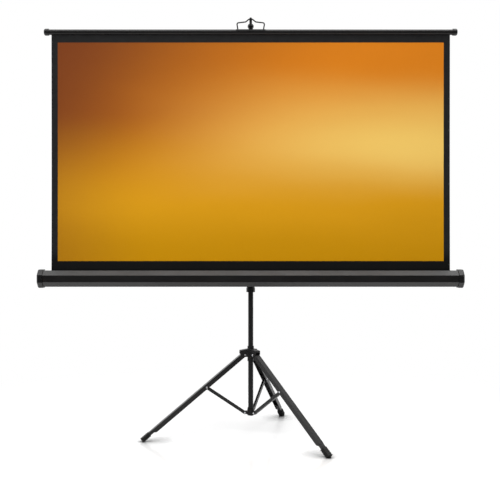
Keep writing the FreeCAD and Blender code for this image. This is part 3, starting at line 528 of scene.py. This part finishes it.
def picture_finish(cloth):
    """Matt coated cloth lit by a warm picture: a bright band under a darker sky, with painted shade in
    the gaps between threads.
    """
    material, tree, skin = new_finish("screen_picture", Specular_IOR_Level=0.05)
    weave = place(tree, "cloth_weave", Threads=cloth.threads)
    spot = picture_place(tree)
    parts = parts_of(tree, spot)
    stretched = vector_calc(tree, "MULTIPLY", spot, DRIFT_STRETCH)["Vector"]
    wander = calc(tree, "SUBTRACT", noise(tree, stretched, scale=1.4, detail=2.0, roughness=0.4), 0.5)
    drift = some_of(tree, wander, share=0.16)
    height = calc(tree, "ADD", parts["Y"], drift)
    across = calc(tree, "ADD", parts["X"], drift)
    band = mix_colour(tree, smooth(tree, height, *LOW_TO_AMBER), cloth.low_colour, cloth.amber_colour)
    below = calc(tree, "SUBTRACT", 1.0, height)
    slant = calc(tree, "ADD", across, some_of(tree, below, share=0.45))
    sky = mix_colour(tree, smooth(tree, slant, *DUSK_TO_HIGH), cloth.dusk_colour, cloth.high_colour)
    shade = mix_colour(tree, smooth(tree, height, *BAND_TO_SKY), band, sky)
    rise = smooth(tree, height, *GLOW_RISE)
    fall = smooth(tree, height, *GLOW_FALL)
    level = calc(tree, "MULTIPLY", rise, fall)
    glow = calc(tree, "MULTIPLY", level, smooth(tree, across, *GLOW_ACROSS))
    shade = mix_colour(tree, glow, shade, cloth.glow_colour)
    side = some_of(tree, smooth(tree, across, *DARK_SIDE), share=0.45)
    shade = mix_colour(tree, side, shade, cloth.dusk_colour)
    # Painted shade: the gaps between threads are darkened towards the dusk colour
    gap = some_of(tree, weave["Gap shade"], share=0.18)
    shade = mix_colour(tree, gap, shade, cloth.dusk_colour)
    gloss = between(tree, weave["Slub"], start=0.72, end=0.84)
    normal = bump(tree, weave["Height"], depth=0.00004)
    join(tree, skin, Base_Color=shade, Roughness=gloss, Normal=normal)
    return material


def border_finish(cloth):
    """Black ink of the border, printed on the weave, with painted shade making it darker just above the
    case.
    """
    material, tree, skin = new_finish("screen_border", Specular_IOR_Level=0.12)
    weave = place(tree, "cloth_weave", Threads=cloth.threads)
    smudge = place(tree, "handling", Scale=11.0)
    faded = paler(cloth.border_colour, times=1.5)
    thin = some_of(tree, weave["Slub"], share=0.5)
    shade = mix_colour(tree, thin, cloth.border_colour, faded)
    # Painted shade: the border is darkened just above the case
    foot_shade = smooth(tree, parts_of(tree, picture_place(tree))["Y"], *PAINTED_FOOT_SHADE)
    shade = mix_colour(tree, foot_shade, shade, cloth.painted_shade_colour)
    gloss = between(tree, smudge["Smudge"], start=0.60, end=0.74)
    normal = bump(tree, weave["Height"], depth=0.00005)
    join(tree, skin, Base_Color=shade, Roughness=gloss, Normal=normal)
    return material


def backing_finish(cloth):
    """Black light-tight backing of the cloth, with painted shade between threads."""
    material, tree, skin = new_finish("screen_backing", Specular_IOR_Level=0.4)
    weave = place(tree, "cloth_weave", Threads=cloth.threads)
    smudge = place(tree, "handling", Scale=6.0)
    faded = paler(cloth.back_colour, times=1.8)
    rubbed = some_of(tree, smudge["Smudge"], share=0.6)
    shade = mix_colour(tree, rubbed, cloth.back_colour, faded)
    # Painted shade: the gaps between threads are darkened
    gap = some_of(tree, weave["Gap shade"], share=0.6)
    shade = mix_colour(tree, gap, shade, cloth.painted_shade_colour)
    gloss = between(tree, weave["Slub"], start=0.52, end=0.66)
    normal = bump(tree, weave["Height"], depth=0.00008)
    join(tree, skin, Base_Color=shade, Roughness=gloss, Normal=normal)
    return material


def slot_nodes(slot, apart_from=()):
    """Names of the CAD nodes of one material slot, apart from some."""
    nodes = [part["node"] for part in frame["record"]["subparts"] if part["material_slot"] == slot]
    if not nodes:
        raise RuntimeError(f"no node uses the slot {slot}")
    return [node for node in nodes if node not in apart_from]


def dress(nodes, material):
    """Gives a finish to CAD nodes."""
    for node in nodes:
        mesh = frame["nodes"][node].data
        mesh.materials.clear()
        mesh.materials.append(material)


# Cloth meshes
def evenly(start, end, count):
    """Values from start to end, both included."""
    return [start + (end - start) * k / count for k in range(count + 1)]


def link_mesh(name, points, faces, materials):
    """New mesh object from points and faces."""
    mesh = bpy.data.meshes.new(name)
    mesh.from_pydata(points, [], faces)
    for material in materials:
        mesh.materials.append(material)
    mesh.validate()
    piece = bpy.data.objects.new(name, mesh)
    bpy.context.scene.collection.objects.link(piece)
    return piece


def slack(cloth, x, z):
    """How far the hung cloth stands back from its flat plane."""
    share = min(max((z - CASE_TOP) / (SLAT_BOTTOM - CASE_TOP), 0.0), 1.0)
    free = math.sin(math.pi * share)
    side = abs(x) / CLOTH_HIGH.x
    wave = math.sin(WAVE_ACROSS * x + WAVE_START) * math.cos(WAVE_UP * z) * cloth.ripple
    return free * (wave + cloth.edge_curl * side ** CURL_POWER)


def hung_cloth(cloth):
    """Closed sheet: picture and border in front, backing behind, with slack waves and a welded hem."""
    left = CLOTH_LOW.x + cloth.side_border
    right = CLOTH_HIGH.x - cloth.side_border
    floor = CASE_TOP + cloth.bottom_border
    ceiling = SLAT_BOTTOM - cloth.top_border
    hem = SLAT_BOTTOM - cloth.hem_depth
    columns = [*evenly(CLOTH_LOW.x, left, BORDER_COLUMNS)[:-1], *evenly(left, right, cloth.columns),
               *evenly(right, CLOTH_HIGH.x, BORDER_COLUMNS)[1:]]
    rows = [CLOTH_LOW.z, CASE_TOP, *evenly(floor, ceiling, cloth.rows), hem - cloth.hem_step, hem,
            SLAT_BOTTOM, CLOTH_HIGH.z]
    across, up = len(columns), len(rows)
    points = []
    for plane, step in ((CLOTH_LOW.y, 0.0), (CLOTH_HIGH.y, cloth.hem_step)):
        for z in rows:
            extra = step if hem <= z < CLOTH_HIGH.z else 0.0
            points.extend((x, plane + slack(cloth, x, z) + extra, z) for x in columns)
    faces, kinds = [], []
    behind = across * up
    for row in range(up - 1):
        for column in range(across - 1):
            a = row * across + column
            front = (a, a + 1, a + across + 1, a + across)
            middle = (columns[column] + columns[column + 1]) / 2
            level = (rows[row] + rows[row + 1]) / 2
            faces.append(front)
            kinds.append(PICTURE if left < middle < right and floor < level < ceiling else BORDER)
            faces.append(tuple(behind + corner for corner in reversed(front)))
            kinds.append(BACKING)
    rim = [*range(across), *(row * across + across - 1 for row in range(1, up)),
           *(behind - 2 - k for k in range(across - 1)), *(row * across for row in range(up - 2, 0, -1))]
    for here, there in zip(rim, rim[1:] + rim[:1]):
        faces.append((there, here, here + behind, there + behind))
        kinds.append(BORDER)
    piece = link_mesh("hung_screen_cloth", points, faces,
                      [picture_finish(cloth), border_finish(cloth), backing_finish(cloth)])
    mesh = piece.data
    mesh.polygons.foreach_set("material_index", kinds)
    layer = mesh.uv_layers.new(name="picture")
    for loop in mesh.loops:
        x, _, z = mesh.vertices[loop.vertex_index].co
        layer.data[loop.index].uv = ((x - left) / (right - left), (z - floor) / (ceiling - floor))
    mesh.polygons.foreach_set("use_smooth", [kind != BORDER for kind in kinds])
    return piece


def wound_cloth(cloth):
    """Spiral of cloth on the roller, and its length."""
    axis_y = (ROLL_LOW.y + ROLL_HIGH.y) / 2
    axis_z = (ROLL_LOW.z + ROLL_HIGH.z) / 2
    inner = (ROLLER_HIGH.z - ROLLER_LOW.z) / 2
    outer = (ROLL_HIGH.z - ROLL_LOW.z) / 2
    thick = (outer - inner) / (WOUND_TURNS + EMPTY_TURNS)
    count = round(WOUND_TURNS * TURN_POINTS)
    points, length = [], 0.0
    for k in range(count + 1):
        turn = 2 * math.pi * k / TURN_POINTS
        base = inner + (outer - inner - thick) * k / count
        length += base * 2 * math.pi / TURN_POINTS if k else 0.0
        for radius in (base, base + thick):
            y, z = axis_y - radius * math.cos(turn), axis_z + radius * math.sin(turn)
            points.extend([(ROLL_LOW.x, y, z), (ROLL_HIGH.x, y, z)])
    faces = []
    for k in range(count):
        a = 4 * k
        faces.append((a, a + 1, a + 5, a + 4))
        faces.append((a + 6, a + 7, a + 3, a + 2))
        faces.append((a, a + 4, a + 6, a + 2))
        faces.append((a + 1, a + 3, a + 7, a + 5))
    last = 4 * count
    faces += [(0, 2, 3, 1), (last, last + 1, last + 3, last + 2)]
    backing = bpy.data.materials.get("screen_backing") or backing_finish(cloth)
    piece = link_mesh("wound_screen_cloth", points, faces, [backing])
    piece.data.shade_smooth()
    return piece, length


# Studio
def white_background(tree, strength):
    """White background of some strength."""
    white = (1.0, 1.0, 1.0, 1.0)
    return add(tree, "ShaderNodeBackground", {"Color": white, "Strength": strength}).outputs[0]


def white_world(stage):
    """White to the eye and in reflections, dim as a light, and dark behind the camera as a studio is."""
    world = bpy.data.worlds.new("studio")
    world.use_nodes = True
    tree = world.node_tree
    tree.nodes.clear()
    path = add(tree, "ShaderNodeLightPath").outputs
    way = parts_of(tree, add(tree, "ShaderNodeTexCoord").outputs["Generated"])
    level = calc(tree, "ADD", way["Y"], calc(tree, "ABSOLUTE", way["Z"]))
    seen = white_background(tree, 1.0)
    mirrored = white_background(tree, smooth(tree, level, *DARK_TO_WHITE, start=DARKEST, end=1.0))
    light = white_background(tree, stage.ambient)
    shiny = calc(tree, "MAXIMUM", path["Is Glossy Ray"], path["Is Transmission Ray"])
    both = mix_shader(tree, path["Is Camera Ray"], mix_shader(tree, shiny, light, mirrored), seen)
    add(tree, "ShaderNodeOutputWorld", {"Surface": both})
    return world


def pale_floor(stage):
    """Pale floor that looks white and keeps the object's shadow and a faint reflection, with a painted
    contact shadow under pieces near it.
    """
    material, tree, skin = new_finish("pale_floor", Specular_IOR_Level=0.5)
    # Painted contact shadow: ambient occlusion darkens the floor's colour under pieces near it
    sky = add(tree, "ShaderNodeAmbientOcclusion", {"Distance": stage.contact_reach}, samples=8)
    contact_shadow = calc(tree, "POWER", sky.outputs["AO"], stage.contact_depth)
    shade = mix_colour(tree, contact_shadow, (0.0, 0.0, 0.0), stage.floor_colour)
    spot = object_place(tree)
    distance = vector_calc(tree, "LENGTH", spot)["Value"]
    gloss = smooth(tree, distance, stage.matt_floor, stage.glossy_floor,
                   start=stage.matt_roughness, end=stage.glossy_roughness)
    join(tree, skin, Base_Color=shade, Roughness=gloss)
    path = add(tree, "ShaderNodeLightPath").outputs
    seen = calc(tree, "MAXIMUM", path["Is Camera Ray"], path["Is Transmission Ray"])
    shiny = path["Is Glossy Ray"]
    ahead = calc(tree, "MULTIPLY", parts_of(tree, spot)["Y"], -1.0)
    far = calc(tree, "MULTIPLY", seen, smooth(tree, distance, stage.floor_near, stage.floor_far))
    dark = calc(tree, "MULTIPLY", shiny, smooth(tree, ahead, stage.floor_near, stage.floor_far))
    lift = calc(tree, "MULTIPLY", calc(tree, "MAXIMUM", seen, shiny), stage.floor_lift)
    # The painted contact shadow also dims the lift
    lift = calc(tree, "MULTIPLY", lift, contact_shadow)
    lifted = add(tree, "ShaderNodeEmission", {"Strength": lift}).outputs[0]
    near = add(tree, "ShaderNodeAddShader", {0: skin.outputs[0], 1: lifted}).outputs[0]
    plain = add(tree, "ShaderNodeEmission", {"Strength": seen}).outputs[0]
    shown = mix_shader(tree, calc(tree, "MAXIMUM", far, dark), near, plain)
    tree.links.new(shown, tree.nodes["Material Output"].inputs["Surface"])
    half = stage.floor_size / 2
    sides = ((-half, -half), (half, -half), (half, half), (-half, half))
    corners = [(x, y, -FLOOR_DROP) for x, y in sides]
    return link_mesh("studio_floor", corners, [(0, 1, 2, 3)], [material])


def soft_lamp(name, place_at, aim, size, power, mirrored):
    """Large area lamp that the camera doesn't see, and that shiny faces may or may not mirror."""
    lamp = bpy.data.lights.new(name, "AREA")
    lamp.shape = "RECTANGLE"
    lamp.size, lamp.size_y = size
    lamp.energy = power
    holder = bpy.data.objects.new(name, lamp)
    holder.location = place_at
    holder.rotation_euler = (Vector(aim) - Vector(place_at)).to_track_quat("-Z", "Y").to_euler()
    holder.visible_camera = False
    holder.visible_glossy = mirrored
    bpy.context.scene.collection.objects.link(holder)


def photo_camera(stage):
    """Level camera in front of the pole."""
    view = bpy.data.cameras.new("photo_camera")
    view.sensor_fit = "HORIZONTAL"
    view.lens = stage.focal_pixels / PHOTO_PIXELS * view.sensor_width
    view.shift_x = (PHOTO_PIXELS / 2 - stage.centre_pixel) / PHOTO_PIXELS
    view.shift_y = (stage.horizon_pixel - PHOTO_PIXELS / 2) / PHOTO_PIXELS
    camera = bpy.data.objects.new("photo_camera", view)
    pole_low, pole_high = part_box("pole_tube")
    camera.location = (0.0, (pole_low.y + pole_high.y) / 2 - stage.camera_back, stage.camera_height)
    camera.rotation_euler = (math.pi / 2, 0.0, 0.0)
    bpy.context.scene.collection.objects.link(camera)
    bpy.context.scene.camera = camera


# Operators
class SCREEN_OT_set_stage(Operator):
    """White studio with soft lamps, a pale floor and the camera"""

    bl_idname = "projection_screen.set_stage"
    bl_label = "Set stage"

    def execute(self, context):
        stage = context.scene.screen_stage
        context.scene.view_settings.view_transform = "Standard"
        context.scene.world = white_world(stage)
        pale_floor(stage)
        soft_lamp("overhead_lamp", place_at=(0.3, -0.6, 4.6), aim=(0.0, 0.0, 0.0), size=(4.5, 3.5),
                  power=stage.overhead_power, mirrored=True)
        soft_lamp("front_lamp", place_at=(-1.4, -4.6, 3.6), aim=(0.0, 0.0, 1.1), size=(4.0, 2.0),
                  power=stage.front_power, mirrored=False)
        photo_camera(stage)
        return {"FINISHED"}


class SCREEN_OT_coat_tubes(Operator):
    """Satin powder coat on the pole, column, mast, hub, collar and pivot plate"""

    bl_idname = "projection_screen.coat_tubes"
    bl_label = "Coat tubes"

    def execute(self, context):
        coat = powder_coat_finish(context.scene.screen_finish, "satin_black_tube",
                                  specular=0.24, smoothest=0.38, roughest=0.50)
        dress(slot_nodes("black_tube", apart_from=LEG_NODES + WIRE_NODES), coat)
        return {"FINISHED"}


class SCREEN_OT_coat_legs(Operator):
    """Smoother powder coat on the pressed legs and braces"""

    bl_idname = "projection_screen.coat_legs"
    bl_label = "Coat legs and braces"

    def execute(self, context):
        coat = powder_coat_finish(context.scene.screen_finish, "satin_black_channel",
                                  specular=0.37, smoothest=0.26, roughest=0.36)
        dress(LEG_NODES, coat)
        return {"FINISHED"}


class SCREEN_OT_coat_wire(Operator):
    """Dull powder coat on the bail, its plate and the hook"""

    bl_idname = "projection_screen.coat_wire"
    bl_label = "Coat bail and hook"

    def execute(self, context):
        coat = powder_coat_finish(context.scene.screen_finish, "dull_black_wire",
                                  specular=0.12, smoothest=0.46, roughest=0.56)
        dress(WIRE_NODES, coat)
        return {"FINISHED"}


class SCREEN_OT_paint_case(Operator):
    """Semi-gloss paint on the case"""

    bl_idname = "projection_screen.paint_case"
    bl_label = "Paint case"

    def execute(self, context):
        paint = rolled_paint_finish(context.scene.screen_finish, "case_paint",
                                    specular=0.45, smoothest=0.27, roughest=0.35)
        dress(slot_nodes("case_paint", apart_from=("slat_tube",)), paint)
        return {"FINISHED"}


class SCREEN_OT_paint_slat(Operator):
    """Duller paint on the slat"""

    bl_idname = "projection_screen.paint_slat"
    bl_label = "Paint slat"

    def execute(self, context):
        paint = rolled_paint_finish(context.scene.screen_finish, "slat_paint",
                                    specular=0.28, smoothest=0.25, roughest=0.33)
        dress(["slat_tube"], paint)
        return {"FINISHED"}


class SCREEN_OT_mould_plastics(Operator):
    """Moulded plastic on the caps, clamps, knobs, bushes and bracket"""

    bl_idname = "projection_screen.mould_plastics"
    bl_label = "Mould plastics"

    def execute(self, context):
        dress(slot_nodes("black_plastic"), moulded_plastic_finish(context.scene.screen_finish))
        return {"FINISHED"}


class SCREEN_OT_fit_boots(Operator):
    """Rubber on the three leg boots"""

    bl_idname = "projection_screen.fit_boots"
    bl_label = "Fit rubber boots"

    def execute(self, context):
        dress(slot_nodes("boot_rubber"), boot_rubber_finish(context.scene.screen_finish))
        return {"FINISHED"}


class SCREEN_OT_plate_metal(Operator):
    """Zinc on the rivets, studs, bolt and shafts, and mill finish on the roller"""

    bl_idname = "projection_screen.plate_metal"
    bl_label = "Plate metal"

    def execute(self, context):
        dress(slot_nodes("zinc_steel"), zinc_finish(context.scene.screen_finish))
        dress(slot_nodes("roller_aluminium"), roller_finish(context.scene.screen_finish))
        return {"FINISHED"}


class SCREEN_OT_hang_cloth(Operator):
    """Screen cloth hung from the slat down into the case"""

    bl_idname = "projection_screen.hang_cloth"
    bl_label = "Hang screen cloth"

    def execute(self, context):
        piece = hung_cloth(context.scene.screen_cloth)
        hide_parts("screen_fabric")
        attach(piece, "slat")
        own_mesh(piece)
        return {"FINISHED"}


class SCREEN_OT_wind_cloth(Operator):
    """Turns of cloth wound on the roller in the case"""

    bl_idname = "projection_screen.wind_cloth"
    bl_label = "Wind cloth on the roller"

    def execute(self, context):
        piece, length = wound_cloth(context.scene.screen_cloth)
        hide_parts("fabric_roll")
        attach(piece, "roller")
        return {"FINISHED"}


class SCREEN_PT_panel(Panel):
    """Pieces and stage of the projection screen"""

    bl_idname = "SCREEN_PT_panel"
    bl_label = "Projection screen"
    bl_space_type = "VIEW_3D"
    bl_region_type = "UI"
    bl_category = "Screen"

    def draw(self, context):
        scene = context.scene
        for operator in OPERATORS:
            self.layout.operator(operator.bl_idname)
        for group in (scene.screen_cloth, scene.screen_finish, scene.screen_stage):
            box = self.layout.box()
            for name in group.bl_rna.properties.keys():
                if name not in ("rna_type", "name"):
                    box.prop(group, name)


OPERATORS = (SCREEN_OT_set_stage, SCREEN_OT_coat_tubes, SCREEN_OT_coat_legs, SCREEN_OT_coat_wire,
             SCREEN_OT_paint_case, SCREEN_OT_paint_slat, SCREEN_OT_mould_plastics, SCREEN_OT_fit_boots,
             SCREEN_OT_plate_metal, SCREEN_OT_hang_cloth, SCREEN_OT_wind_cloth)
CLASSES = (ScreenClothSettings, FinishSettings, StageSettings, *OPERATORS, SCREEN_PT_panel)


def register():
    for kind in CLASSES:
        bpy.utils.register_class(kind)
    bpy.types.Scene.screen_cloth = PointerProperty(type=ScreenClothSettings)
    bpy.types.Scene.screen_finish = PointerProperty(type=FinishSettings)
    bpy.types.Scene.screen_stage = PointerProperty(type=StageSettings)


def unregister():
    del bpy.types.Scene.screen_stage
    del bpy.types.Scene.screen_finish
    del bpy.types.Scene.screen_cloth
    for kind in reversed(CLASSES):
        bpy.utils.unregister_class(kind)


def main():
    register()
    bpy.ops.projection_screen.set_stage()
    bpy.ops.projection_screen.coat_tubes()
    bpy.ops.projection_screen.coat_legs()
    bpy.ops.projection_screen.coat_wire()
    bpy.ops.projection_screen.paint_case()
    bpy.ops.projection_screen.paint_slat()
    bpy.ops.projection_screen.mould_plastics()
    bpy.ops.projection_screen.fit_boots()
    bpy.ops.projection_screen.plate_metal()
    bpy.ops.projection_screen.hang_cloth()
    bpy.ops.projection_screen.wind_cloth()


if __name__ == "__main__":
    main()
